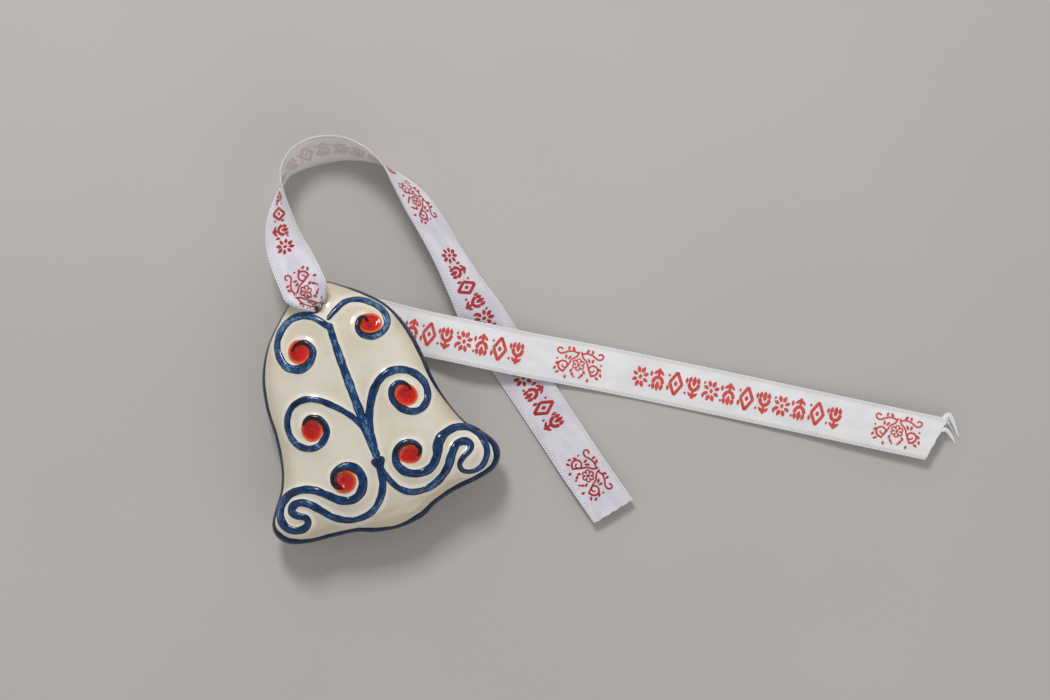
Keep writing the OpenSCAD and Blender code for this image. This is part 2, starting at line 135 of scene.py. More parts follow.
# Each stop of the ribbon: x, y, z and lean, as in the CAD
front_stops = [[-1, 35.5, 11, 0], [-1, 35.5, 17.5, 0], [-1.2, 36.4, 19.8, 0], [-1.8, 39, 21, 0],
    [-2, 43.5, 20.6, 3], [-2.6, 50, 18.6, 10], [-3.2, 56, 16, 24], [-3, 62, 13.6, 38],
    [-1.6, 68.5, 11.4, 56], [0.6, 74.5, 9.4, 76], [3.6, 79.8, 8, 95], [8.8, 83, 7.1, 114],
    [15.5, 84, 6.7, 123], [23.5, 82.2, 6.9, 119], [30.4, 78, 7.6, 106], [35.8, 72, 7.9, 89],
    [39.3, 64.2, 7.4, 69], [42, 56, 6.4, 54], [44, 47, 6.1, 50], [45.6, 37, 6, 48], [47.4, 25, 4.8, 36],
    [48.8, 17, 2.8, 18], [50.2, 10, 1.2, 5], [51.8, 3, 0.6, 0], [53.4, -3, 0.6, 0], [56.4, -15, 0.6, 0],
    [59.8, -29, 1, 0], [63.6, -45, 1.8, 0], [68.3, -62.7, 2.7, 0]]
back_stops = [[-1, 35.5, 11, 0], [-1, 35.5, 2.6, 0], [-0.5, 35.2, 1.4, 0], [2, 33.5, 0.7, 0],
    [8, 29.4, 0.4, 0], [16, 24, 0.5, 0], [24, 18.6, 1.5, 0], [31, 14, 3.8, 0], [38, 9.7, 5.8, 0],
    [45, 5.3, 5.8, 0], [52, 1, 4.8, 0], [60, -4, 3.2, 0], [70, -9.8, 1.5, 0], [86, -19.4, 0.7, 0],
    [100, -28, 0.6, 0], [115, -37.3, 0.8, 0], [138, -51.7, 1.4, 0], [155, -62.4, 2.2, 0],
    [179.2, -77.5, 3.1, 0]]


# ---------------- curves
def curve(a, b, c, d, t):
    return b + (t * (c - a) + t * t * (2 * a - 5 * b + 4 * c - d)
                + t ** 3 * (3 * b - a - 3 * c + d)) / 2


def closed_curve(points, steps):
    p = np.array(points, float).reshape(len(points), -1)
    t = (np.arange(steps) / steps)[None, :, None]
    ends = [np.roll(p, k, axis=0)[:, None] for k in (1, 0, -1, -2)]
    return curve(*ends, t).reshape(-1, p.shape[1])


def open_curve(points, steps):
    p = np.array(points, float)
    padded = np.vstack([p[:1], p, p[-1:]])
    t = (np.arange(steps) / steps)[None, :, None]
    ends = [padded[k:k + len(p) - 1][:, None] for k in range(4)]
    return np.vstack([curve(*ends, t).reshape(-1, p.shape[1]), p[-1:]])


def arc_lengths(p):
    return np.concatenate([[0], np.cumsum(norm(np.diff(p, axis=0), axis=1))])


def resample(p, step, use=3):
    """The same line with evenly spaced points, measured over its first `use` columns."""
    s = arc_lengths(p[:, :use])
    n = max(3, int(round(s[-1] / step)) + 1)
    at = np.linspace(0, s[-1], n)
    return np.stack([np.interp(at, s, p[:, k]) for k in range(p.shape[1])], axis=1), at


def unit(v):
    return v / np.maximum(norm(v, axis=-1, keepdims=True), 1e-12)


def right_of(way):
    return np.stack([way[:, 1], -way[:, 0]], axis=1)


def apart(p, c):
    """How far points are from c, seen from above."""
    return norm(p[..., :2] - c, axis=-1)


def circle(count):
    """Angles evenly round a circle, and the points there."""
    a = np.linspace(0, 2 * math.pi, count, endpoint=False)
    return a, np.stack([np.cos(a), np.sin(a)], axis=1)


def crossing(a, b, shares):
    """Lines of points between a and b, one for each share of the way from a."""
    shares = shares[:, None, None]
    return a[None] * (1 - shares) + b[None] * shares


def place(p):
    return np.stack([p[..., 0], BELL_H / 2 - p[..., 1]], axis=-1)


def place_relief(p):
    return place(np.asarray(p, float) * relief_scale + relief_shift)


def smooth(x, low, high):
    t = np.clip((x - low) / (high - low), 0, 1)
    return t * t * (3 - 2 * t)


# ---------------- the face of the bell
# Steps of the outline between two of its points
OUT_STEPS = 15
outline = place(closed_curve(outline_points, OUT_STEPS))
out_n = len(outline)
inward = right_of(unit(np.roll(outline, -1, axis=0) - np.roll(outline, 1, axis=0)))
segment = np.roll(outline, -1, axis=0) - outline
seg_dir, seg_len = unit(segment), norm(segment, axis=1)


def moved_in(way):
    """The outline, this far inside itself."""
    return outline + inward * np.reshape(way, (-1, 1))


def inset(points):
    """A smooth distance to the outline, as in the CAD."""
    result = np.empty(len(points))
    for k in range(0, len(points), 256):
        ax = outline[:, 0] - points[k:k + 256, :1]
        ay = outline[:, 1] - points[k:k + 256, 1:]
        near = ax * seg_dir[:, 0] + ay * seg_dir[:, 1]
        far = near + seg_len
        off = np.maximum((ax * seg_dir[:, 1] - ay * seg_dir[:, 0]) ** 2, 1e-4)
        pull = (far / np.sqrt(far * far + off) - near / np.sqrt(near * near + off)) / off
        result[k:k + 256] = 1 / np.sqrt(np.maximum(pull.sum(1) / 2, 1e-6))
    return result


def swell(points):
    return 1 - (1 - np.minimum(inset(points) / FULL_INSET, 1)) ** 2


MOST_POINTS = 20000
line_cloud = KDTree(MOST_POINTS)
for number, q in enumerate(np.vstack([resample(place_relief(open_curve(r, FINE)), 0.3, 2)[0]
                                      for r, _ in lines.values()])):
    line_cloud.insert((*q, 0), number)
line_cloud.balance()
dot_places = {name: place_relief(d[0]) for name, d in dots.items()}
knot_place = place_relief(KNOT)
deep_dots = ("dot_upper_right", "dot_lower_left")
glaze_drop = place_relief([0.4, 11.6])


def nearest(points, cloud):
    return np.array([cloud.find((x, y, 0))[2] for x, y in points])


def dot_radius(name, a):
    _, share, stretch, turn = dots[name]
    return DOT_R * share * (1 + stretch * np.cos(2 * a - 2 * math.radians(turn)))


def hand_made(p):
    """Slight unevenness of a hand-finished cast, about a tenth of a millimetre."""
    x, y = p[:, 0], p[:, 1]
    wave = np.sin(x * 0.37 + 1.3 * np.sin(y * 0.21 + 0.4))
    wave *= np.sin(y * 0.31 + 0.9 * np.sin(x * 0.27))
    small = np.sin(x * 0.9 + 0.8 * np.sin(y * 0.7)) * np.sin(y * 1.05 + 2.1)
    return 0.09 * wave + 0.025 * small


def near_hole(p, reach):
    return np.exp(-(np.maximum(apart(p, HOLE) - HOLE_R, 0) / reach) ** 2)


def front_height(p):
    lift = swell(p)
    z = SEAM_Z + FRONT_RISE * np.sqrt(lift)
    edge = smooth(lift, 0.04, 0.3)
    d = nearest(p, line_cloud)
    z += 0.8 * np.exp(-(d / 1.6) ** 2) * edge
    for name, c in dot_places.items():
        z -= (0.95 if name in deep_dots else 0.4) * smooth(apart(p, c) / DOT_R, 1.05, 0.4)
    z += 0.4 * np.exp(-((p - glaze_drop) ** 2).sum(1) / 1.3 ** 2)
    r2 = ((p - knot_place) ** 2).sum(1)
    z += 0.45 * np.exp(-(r2 / 3.0 ** 2) ** 1.5)
    z -= 0.7 * near_hole(p, 0.8)
    # The moulded clapper swells out below a shallow crease
    down = BELL_H / 2 - p[:, 1]
    rim = 79.4 - 0.012 * p[:, 0] ** 2
    side = np.exp(-(p[:, 0] / 9.5) ** 4)
    z -= 0.32 * np.exp(-((down - rim + 0.6) / 0.9) ** 2) * side * edge
    z += 0.35 * np.exp(-((down - rim - 2.0) / 1.6) ** 2) * side * edge
    return z + hand_made(p) * edge


def back_height(p):
    lift = swell(p)
    z = SEAM_Z - BACK_DEPTH * lift ** BACK_POWER + 0.6 * hand_made(p + 40) * smooth(lift, 0.04, 0.3)
    z += 0.6 * near_hole(p, 0.7)
    # The foot is ground flat
    soft = 0.12
    return soft * np.logaddexp(0, z / soft)


def on_face(p, height=front_height):
    """Points of the face above these plan points, and the face's normals there."""
    e = 0.06
    z, right, above = np.split(height(np.vstack([p, p + [e, 0], p + [0, e]])), 3)
    dx, dy = (right - z) / e, (above - z) / e
    dx, dy = (np.nan_to_num(np.clip(d, -6, 6)) for d in (dx, dy))
    normal = unit(np.stack([-dx, -dy, np.ones_like(dx)], axis=1))
    return np.column_stack([p, z]), normal


# ---------------- mesh helpers
def grid_faces(rows, cols, start=0):
    """Four-sided faces of a grid of points whose last column joins its first."""
    i, j = np.meshgrid(np.arange(rows - 1), np.arange(cols), indexing="ij")
    k = (j + 1) % cols
    quads = np.stack([i * cols + j, i * cols + k, (i + 1) * cols + k, (i + 1) * cols + j], axis=-1)
    return (quads.reshape(-1, 4) + start).tolist()


def tube_faces(n, m, start=0):
    """Faces round n closed sections of m points each, and one over each end."""
    ends = [[start + k for k in range(m)], [start + n * m - 1 - k for k in range(m)]]
    return [f[::-1] for f in grid_faces(n, m, start)] + ends


def make(name, points, faces, materials, uv=None, floats=None, face_slots=None, crease=50):
    """A piece from points in millimetres. floats are named values on its points."""
    mesh = bpy.data.meshes.new(name)
    points = np.asarray(points).reshape(-1, 3) * MM
    mesh.from_pydata(points.tolist(), [], [list(map(int, f)) for f in faces])
    for material in materials:
        mesh.materials.append(material)
    if face_slots is not None:
        mesh.polygons.foreach_set("material_index", np.asarray(face_slots, np.int32))
    if uv is not None:
        layer = mesh.uv_layers.new(name="cloth")
        corner = np.empty(len(mesh.loops), np.int32)
        mesh.loops.foreach_get("vertex_index", corner)
        layer.data.foreach_set("uv", uv.reshape(-1, 2)[corner].astype(np.float32).ravel())
    for key, values in (floats or {}).items():
        data = mesh.attributes.new(key, "FLOAT", "POINT").data
        data.foreach_set("value", np.asarray(values, np.float32).ravel())
    mesh.polygons.foreach_set("use_smooth", [True] * len(mesh.polygons))
    mesh.update()
    mesh.set_sharp_from_angle(angle=math.radians(crease))
    piece = bpy.data.objects.new(name, mesh)
    scene.collection.objects.link(piece)
    return piece


def settle(piece, body, slot, *nodes):
    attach(piece, body)
    if nodes:
        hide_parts(*nodes)
    return piece


# ---------------- materials
class Nodes:
    """A short way to build the nodes of a material or of the world."""

    def __init__(self, owner):
        owner.use_nodes = True
        self.owner, self.tree = owner, owner.node_tree
        self.tree.nodes.clear()

    def add(self, kind, inputs=(), **settings):
        n = self.tree.nodes.new("ShaderNode" + kind)
        for key, value in settings.items():
            setattr(n, key, value)
        for key, value in dict(inputs).items():
            self.set(n.inputs[key], value)
        return n

    def set(self, socket, value):
        if isinstance(value, bpy.types.NodeSocket):
            self.tree.links.new(value, socket)
        elif socket.type == "RGBA":
            socket.default_value = (*value[:3], 1)
        else:
            socket.default_value = value

    def math(self, operation, *values, clamp=False):
        return self.add("Math", enumerate(values), operation=operation, use_clamp=clamp).outputs[0]

    def times(self, a, b):
        return self.math("MULTIPLY", a, b)

    def plus(self, a, b):
        return self.math("ADD", a, b)

    def minus(self, a, b):
        return self.math("SUBTRACT", a, b)

    def mix(self, share, a, b):
        return self.add("Mix", {"Factor": share, 6: a, 7: b}, data_type="RGBA").outputs[2]

    def between(self, value, low, high, to_low=0.0, to_high=1.0):
        return self.add("MapRange", enumerate((value, low, high, to_low, to_high)),
                        interpolation_type="SMOOTHSTEP").outputs[0]

    def noise(self, vector, scale, detail=3.0, rough=0.5, distortion=0.0):
        return self.add("TexNoise", {"Vector": vector, "Scale": scale, "Detail": detail,
                                     "Roughness": rough, "Distortion": distortion}).outputs[0]

    def stretched(self, vector, scale):
        return self.add("Mapping", {"Vector": vector, "Scale": scale}).outputs[0]

    def place(self):
        return self.add("TexCoord").outputs["Object"]

    def cloth(self):
        return self.add("UVMap", uv_map="cloth").outputs[0]

    def attribute(self, name):
        return self.add("Attribute", attribute_name=name).outputs["Fac"]

    def finish(self, colour, rough, bump, strength, distance, **uniform):
        surface = self.add("BsdfPrincipled", {"Base Color": colour, "Roughness": rough})
        for key, value in uniform.items():
            surface.inputs[key.replace("_", " ")].default_value = value
        bumps = self.add("Bump", {"Height": bump, "Strength": strength, "Distance": distance})
        self.set(surface.inputs["Normal"], bumps.outputs[0])
        self.add("OutputMaterial", {0: surface.outputs[0]})
        return self.owner


def shader(name):
    return Nodes(bpy.data.materials.new(name))


def srgb(r, g, b):
    """A colour given as 0 to 255 on a screen, as the linear values that a shader takes."""
    return tuple(c / 3294.6 if c <= 10 else ((c / 255 + 0.055) / 1.055) ** 2.4 for c in (r, g, b))


def glaze_specks(s, where, scale, share):
    """Pinhole specks: a few cells of a Voronoi pattern hold one each."""
    v = s.add("TexVoronoi", {"Vector": where, "Scale": scale, "Randomness": 1.0})
    size = s.add("SeparateColor", {0: v.outputs["Color"]})
    chosen = s.math("GREATER_THAN", size.outputs[0], 1 - share)
    radius = s.math("MULTIPLY_ADD", size.outputs[1], 0.05, 0.035)
    spot = s.math("SUBTRACT", 1.0, s.math("DIVIDE", v.outputs["Distance"], radius), clamp=True)
    return s.math("MULTIPLY", s.times(chosen, spot), 1.6, clamp=True)


def porcelain_glaze(name, more_painted_shade=0.0):
    s = shader(name)
    where = s.place()
    broad = s.noise(where, 55, 3, 0.55)
    fine = s.noise(where, 420, 4, 0.6)
    pale, deep, painted_shade = srgb(226, 218, 201), srgb(214, 204, 184), srgb(196, 176, 146)
    colour = s.mix(s.between(broad, 0.35, 0.65), pale, deep)
    colour = s.mix(s.between(fine, 0.55, 0.8, 0, 0.18), colour, deep)
    # Painted shade: a darker tan laid in by the "hollow" value, at the steep edges, towards the bottom,
    # along the crease over the clapper and round the hole; the crease's glaze lays more of it
    colour = s.mix(s.times(s.attribute("hollow"), 0.55 + more_painted_shade), colour, painted_shade)
    # Paler glaze beside the raised lines and at the drop by the top of the stem: partly the white rim
    # of the relief, partly a painted highlight on flanks that face the light
    colour = s.mix(s.times(s.attribute("pale_rim_and_painted_highlight"), 0.65), colour, srgb(238, 233, 222))
    speck = glaze_specks(s, where, 260.0, 0.09)
    colour = s.mix(s.times(speck, 0.75), colour, srgb(112, 84, 58))
    rough = s.between(s.noise(where, 140, 3), 0.3, 0.7, 0.16, 0.26)
    ripple = s.noise(where, 230, 2, 0.5)
    height = s.minus(s.times(ripple, 0.6), s.times(speck, 0.5))
    return s.finish(colour, rough, height, 0.22, 0.00008,
                    Coat_Weight=0.85, Coat_Roughness=0.07, Coat_IOR=1.5, Specular_IOR_Level=0.45)


def cobalt_paint(name, gloss=0.4):
    """Brushed cobalt in the glaze; u runs along the line and v across it, both in millimetres."""
    s = shader(name)
    uv = s.cloth()
    where = s.place()
    streaks = s.noise(s.stretched(uv, (0.22, 3.2, 1)), 1, 5, 0.62, 0.3)
    pools = s.noise(where, 190, 4, 0.6, 0.4)
    grain = s.noise(where, 1100, 3, 0.6)
    tone = s.plus(s.times(streaks, 0.62), s.times(pools, 0.55))
    tone = s.plus(tone, s.times(s.minus(grain, 0.25), 0.36))
    tone = s.plus(tone, s.times(s.attribute("light"), 0.22))
    deep, mid, pale = srgb(0, 8, 30), srgb(2, 54, 104), srgb(120, 164, 200)
    colour = s.mix(s.between(tone, 0.52, 0.7), deep, mid)
    colour = s.mix(s.between(tone, 0.72, 0.9, 0, 0.85), colour, pale)
    colour = s.mix(s.times(s.attribute("edge"), 0.85), colour, srgb(0, 20, 50))
    colour = s.mix(s.attribute("thin"), colour, srgb(84, 86, 112))
    brown = s.mix(s.between(grain, 0.4, 0.7), srgb(30, 14, 18), srgb(62, 26, 22))
    colour = s.mix(s.attribute("over"), colour, brown)
    rough = s.between(pools, 0.3, 0.7, 0.07, 0.15)
    height = s.plus(s.times(streaks, 0.6), s.times(pools, 0.5))
    return s.finish(colour, rough, height, 0.3, 0.00012, Specular_IOR_Level=gloss)


def red_paint(name):
    s = shader(name)
    where = s.place()
    blot = s.noise(where, 420, 4, 0.6, 0.6)
    grain = s.noise(where, 1500, 3, 0.6)
    rim = s.plus(s.attribute("edge"), s.times(s.minus(blot, 0.5), 0.5))
    colour = s.mix(s.between(blot, 0.38, 0.62), srgb(206, 22, 8), srgb(172, 8, 6))
    colour = s.mix(s.between(rim, 0.7, 0.98), colour, srgb(234, 104, 50))
    colour = s.mix(s.between(grain, 0.58, 0.75, 0, 0.35), colour, srgb(236, 112, 66))
    rough = s.between(blot, 0.3, 0.7, 0.08, 0.18)
    return s.finish(colour, rough, blot, 0.3, 0.00014, Specular_IOR_Level=0.5)


ROW, STITCH = 0.66, 0.95


def satin(name, pale, grey, shine, thin, weave=0.30):
    """Satin with a dotted selvage along both edges; u and v of the cloth are in millimetres."""
    s = shader(name)
    uv = s.cloth()
    axes = s.add("SeparateXYZ", {0: uv})
    along, across = axes.outputs[0], axes.outputs[1]
    off = s.minus(RIBBON_W / 2, s.math("ABSOLUTE", across))
    warp = s.noise(s.stretched(uv, (0.35, 9, 1)), 1, 3, 0.6)
    cloud = s.noise(s.stretched(uv, (0.07, 0.18, 1)), 1, 2)
    # Fine ribs across the ribbon, and two rows of stitches in each selvage
    rib = s.math("SINE", s.times(along, 2 * math.pi / 0.42))
    selvage = s.between(off, 1.4, 1.2)
    rows = s.math("COSINE", s.times(off, 2 * math.pi / ROW))
    stagger = s.times(s.math("FLOOR", s.math("DIVIDE", off, ROW)), 0.5)
    beads = s.math("COSINE", s.times(s.plus(s.math("DIVIDE", along, STITCH), stagger),
                                    2 * math.pi))
    stitch = s.times(s.minus(beads, rows), 0.5)
    stitch = s.times(s.between(stitch, -0.2, 0.7), selvage)
    colour = s.mix(s.between(cloud, 0.35, 0.65), pale, grey)
    colour = s.mix(s.between(warp, 0.45, 0.75, 0, 0.22), colour, grey)
    colour = s.mix(s.times(selvage, 0.48), colour, srgb(164, 161, 166))
    colour = s.mix(s.times(stitch, 0.9), colour, srgb(248, 248, 251))
    rough = s.plus(s.between(warp, 0.3, 0.7, shine, shine + 0.12),
                   s.times(selvage, 0.15))
    height = s.plus(s.times(warp, 0.5), s.times(rib, 0.12 * weave))
    height = s.plus(height, s.times(stitch, 0.8))
    return s.finish(colour, rough, height, 0.35, 0.00012,
                    Subsurface_Weight=thin, Subsurface_Scale=0.0006,
                    Subsurface_Radius=(1.0, 0.97, 0.95), Sheen_Weight=0.25, Sheen_Roughness=0.45,
                    Specular_IOR_Level=0.5)


def printed(name, colour, worn):
    """Ink on satin: a little cloth shows through it."""
    s = shader(name)
    where = s.place()
    blot = s.noise(where, 900, 3, 0.6)
    broad = s.noise(where, 120, 2)
    tint = s.mix(s.between(blot, 0.5, 0.8), colour, worn)
    tint = s.mix(s.between(broad, 0.4, 0.7, 0, 0.3), tint, worn)
    return s.finish(tint, s.between(blot, 0.3, 0.7, 0.42, 0.6), blot, 0.2, 0.00006,
                    Specular_IOR_Level=0.4, Sheen_Weight=0.1)


porcelain = porcelain_glaze("ivory_glaze")
# The crease over the clapper has its own copy of the glaze, with more painted shade
crease_glaze_with_painted_shade = porcelain_glaze("crease_glaze_with_painted_shade", 0.2)
cobalt = cobalt_paint("brushed_cobalt")
red = red_paint("red_enamel_paint")
cobalt_seam = cobalt_paint("seam_cobalt", 0.12)
# Painted sheen: the ribbon under the bell and its loose threads are the same satin and ink as the
# ribbon over the crown, painted brighter and lighter for the light they catch
satin_front = satin("satin_face", srgb(226, 223, 232), srgb(210, 206, 217), 0.36, 0.3)
satin_painted_brighter_for_sheen = satin("satin_face_painted_brighter_for_sheen", srgb(242, 241, 244), srgb(233, 232, 235), 0.36, 0.3)
satin_reverse = satin("satin_reverse", srgb(232, 229, 227), srgb(220, 216, 215), 0.55, 0.7)
inks = {"front": printed("red_ink", srgb(170, 34, 44), srgb(194, 70, 72)),
        "back": printed("red_ink_painted_lighter_for_sheen", srgb(206, 72, 66), srgb(220, 112, 104))}
ink_ghost = printed("ink_seen_from_behind", srgb(222, 205, 203), srgb(220, 210, 208))


# ---------------- the ribbon
CROSS = 24
PLEATS = 2
# Width of the cloth in the hole, the way over which it opens, and how far it is pulled off
# the hole's middle
GATHERED, OPENS_IN, MOUTH_LEAN, MOUTH_SHIFT = 4.4, 6.3, 1.0, 0.9


def pleat_table(cap):
    """Cross-sections of the same cloth gathered to smaller and smaller widths."""
    q = np.linspace(-0.5, 0.5, 401)
    shape = np.sin(2 * math.pi * PLEATS * q)
    widths = np.linspace(GATHERED - 0.1, RIBBON_W, 40)
    sections = []
    for w in widths:
        low, high = 0.0, 3.0
        for _ in range(30):
            mid = (low + high) / 2
            length = arc_lengths(np.stack([w * q, mid * shape], axis=1))[-1]
            low, high = (mid, high) if length < RIBBON_W else (low, mid)
        line = np.stack([w * q, min(low, cap) * shape], axis=1)
        s = arc_lengths(line)
        at = np.linspace(0, s[-1], CROSS + 1)
        sections.append(np.stack([np.interp(at, s, column) for column in line.T], axis=1))
    return widths, np.array(sections)


class Strand:
    """One end of the ribbon: its middle surface as a grid of points, and its normals."""

    def __init__(self, stops, cap, leans, cup):
        line, self.s = resample(open_curve(stops, FINE), 0.8)
        for _ in range(6):
            line[1:-1] = (line[:-2] + 2 * line[1:-1] + line[2:]) / 4
        spots, lean = line[:, :3], np.radians(line[:, 3])
        way = unit(np.gradient(spots, axis=0))
        first = unit(np.array(stops[3][:2]) - stops[0][:2])
        # Where the cloth stands nearly upright it faces the way it leaves the hole
        flat = way[:, :2] + 0.1 * first * (norm(way[:, :2], axis=1, keepdims=True) < 0.9)
        right = np.column_stack([right_of(unit(flat)), np.zeros(len(flat))])
        across = unit(right * np.cos(lean)[:, None] + [0, 0, 1] * np.sin(lean)[:, None])
        up = unit(np.cross(across, way))
        out = apart(spots, HOLE)
        gather = np.clip(out / OPENS_IN, 0, 1)
        width = GATHERED + (RIBBON_W - GATHERED) * np.sin(gather * math.pi / 2)
        # The gathered cloth leans on the edge of the hole, on the side it came from
        shove = right_of(first[None])[0] * MOUTH_SHIFT - first * MOUTH_LEAN
        spots[:, :2] += leans * shove * smooth(out, 4.5, 0.8)[:, None]
        widths, sections = pleat_table(cap)
        k = np.interp(width, widths, np.arange(len(widths)))
        low = np.minimum(k.astype(int), len(widths) - 2)
        part = (k - low)[:, None, None]
        section = sections[low] * (1 - part) + sections[low + 1] * part
        flatness = np.clip(gather * np.cos(lean), 0, 1)[:, None]
        section[..., 1] += cup * flatness * (1 - (section[..., 0] / (RIBBON_W / 2)) ** 2)
        slope = unit(np.gradient(section, axis=1))
        across, up = across[:, None], up[:, None]
        self.points = spots[:, None] + across * section[..., :1] + up * section[..., 1:]
        self.normals = unit(up * slope[..., :1] - across * slope[..., 1:])
        self.middle = spots
        self.length = self.s[-1]

    def at(self, s, v, offset):
        """Points on the cloth at s along it and v across it, lifted off its middle by offset."""
        i = np.clip(s / self.length * (len(self.s) - 1), 0, len(self.s) - 1.001)
        j = np.clip((v / RIBBON_W + 0.5) * CROSS, 0, CROSS - 0.001)
        a, b = i.astype(int), j.astype(int)
        fi, fj = (i - a)[..., None], (j - b)[..., None]

        def pick(g):
            return ((g[a, b] * (1 - fj) + g[a, b + 1] * fj) * (1 - fi)
                    + (g[a + 1, b] * (1 - fj) + g[a + 1, b + 1] * fj) * fi)
        return pick(self.points) + unit(pick(self.normals)) * np.asarray(offset)[..., None]


def ribbon_piece(name, strand, ragged, face):
    """The closed strip of cloth. ragged moves its last edge in and out along its width."""
    v = np.linspace(-RIBBON_W / 2, RIBBON_W / 2, CROSS + 1)
    s = strand.s
    far = np.array([ragged(x) for x in v])
    share = smooth(s, s[-1] - 8, s[-1])[:, None]
    along = s[:, None] - share * far[None, :]
    cross = np.broadcast_to(v, along.shape)
    cord = 0.06 * smooth(np.abs(cross), RIBBON_W / 2 - 1.5, RIBBON_W / 2 - 1.2)
    top = strand.at(along, cross, RIBBON_T / 2 + cord)
    low = strand.at(along, cross, -RIBBON_T / 2 - cord)
    ring = np.concatenate([top, low[:, ::-1]], axis=1)
    cloth = np.stack([along, cross], -1)
    uv = np.concatenate([cloth, cloth[:, ::-1]], axis=1)
    n, m = ring.shape[:2]
    column = np.tile(np.arange(m), n - 1)
    slots = ((column >= CROSS + 1) & (column < m - 1)).astype(int)
    across = np.arange(CROSS)[:, None]
    caps = np.hstack([across, across + 1, m - 2 - across, m - 1 - across])
    faces = np.vstack([grid_faces(n, m), caps[:, ::-1], caps + (n - 1) * m])
    return make(name, ring, faces, [face, satin_reverse], uv,
                face_slots=list(slots) + [0] * (2 * CROSS), crease=70)


front_strand = Strand(front_stops, 0.8, 1.0, 0.35)
back_strand = Strand(back_stops, 0.35, 0.0, 0.45)


def ragged_front(v):
    """The cut end of the ribbon over the crown: a little askew, with loose warp ends."""
    return 0.7 + 0.06 * v + 0.16 * math.sin(v * 1.9 + 0.6) + 0.12 * math.sin(v * 5.3)


def ragged_back(v):
    """The cut end of the other ribbon, cut more askew."""
    askew = 0.25 + 0.31 * (v + RIBBON_W / 2)
    return askew + 0.12 * math.sin(v * 1.6 + 2) + 0.14 * math.sin(v * 4.7 + 1)


ribbon_front = settle(ribbon_piece("ribbon_over_the_crown", front_strand, ragged_front, satin_front),
                      "ribbon", "satin", "ribbon_front_strand")
ribbon_back = settle(ribbon_piece("ribbon_under_the_bell", back_strand, ragged_back, satin_painted_brighter_for_sheen),
                     "ribbon", "satin", "ribbon_back_strand")


# ---------------- the print: a generic flower border
def stroke(points, width):
    """One printed stroke: points along it and the width at each, in millimetres."""
    p = np.array(points, float)
    w = np.broadcast_to(np.asarray(width, float), (len(p),))
    return p, w


def arc(cx, cy, r, start, end, n=12):
    a = np.radians(np.linspace(start, end, n))
    return np.stack([cx + r * np.cos(a), cy + r * np.sin(a)], axis=1)


def leaf(x, y, length, angle, fat):
    """An almond shape that starts at x, y."""
    t = np.linspace(0, 1, 9)
    a = math.radians(angle)
    p = np.stack([x + length * t * math.cos(a), y + length * t * math.sin(a)], axis=1)
    return stroke(p, np.maximum(fat * np.sin(t * math.pi) ** 0.8, 0.05))


def leaves(side, fat, rows):
    """Leaves on one side of a spray, each given by its x, y, length and angle."""
    return [leaf(side * x, y, size, a if side > 0 else 180 - a, fat) for x, y, size, a in rows]


def berry(x, y, r):
    t = np.linspace(-1, 1, 9)
    p = np.stack([x + r * t, np.full(9, y)], axis=1)
    return stroke(p, np.maximum(2 * r * np.sqrt(1 - t * t), 0.05))


def spokes(count, first):
    """The angle of each petal round a flower, with its cosine and its sine."""
    for a in (first + 360 / count * k for k in range(count)):
        yield a, math.cos(math.radians(a)), math.sin(math.radians(a))


def daisy(x):
    petals = [leaf(x + 1.15 * c, 1.15 * d, 2.3, a, 1.2) for a, c, d in spokes(8, 22.5)]
    return [berry(x, 0, 0.75)] + petals


def diamond(x):
    h, w = 3.5, 2.5
    corners = [[x - w, 0], [x, h], [x + w, 0], [x, -h], [x - w, 0]]
    sides = [np.linspace(corners[k], corners[k + 1], 7)[:-1] for k in range(4)]
    return [stroke(np.vstack(sides + [[corners[4]]]), 0.95), berry(x, 0, 0.8)]


def tulip(x, way):
    shapes = [stroke(arc(x, 1.0 * way, 1.9, 180, 360 if way > 0 else 0, 14), 1.05),
              leaf(x, 0.2 * way, 3.2, 90 * way, 1.3)]
    for side in (-1, 1):
        shapes += [leaf(x + side * 1.9, 0.9 * way, 2.3, 90 * way + 12 * side * way, 1.1),
                   leaf(x, -3.2 * way, 2.6, 90 * way - 52 * side * way, 0.95)]
    return shapes + [stroke(np.linspace([x, -0.8 * way], [x, -3.6 * way], 6), 0.8)]


FLOWERS, PITCH, DRAWN_PITCH = 12, 6, 7.2


def fitted(p):
    """Strokes of the border are drawn for a wider pitch than they stand at."""
    step = (np.floor(p[:, :1].mean() / PITCH) + 0.5) * PITCH
    return np.column_stack([step + (p[:, 0] - step) * PITCH / DRAWN_PITCH, p[:, 1] * 1.08])


def border():
    """A row of flowers and diamonds, and small buds between them."""
    shapes = []
    kinds = [daisy, lambda x: tulip(x, 1), diamond, lambda x: tulip(x, -1)]
    for k in range(FLOWERS):
        x, way = (k + 0.5) * PITCH, (-1) ** k
        shapes += kinds[k % 4](x)
        if k < FLOWERS - 1:
            shapes += [berry(x + PITCH / 2, 2.2 * way, 0.55),
                       leaf(x + PITCH / 2, -2.6 * way, 1.9, 90 * way, 0.9)]
    return [(fitted(p), 1.12 * w) for p, w in shapes]


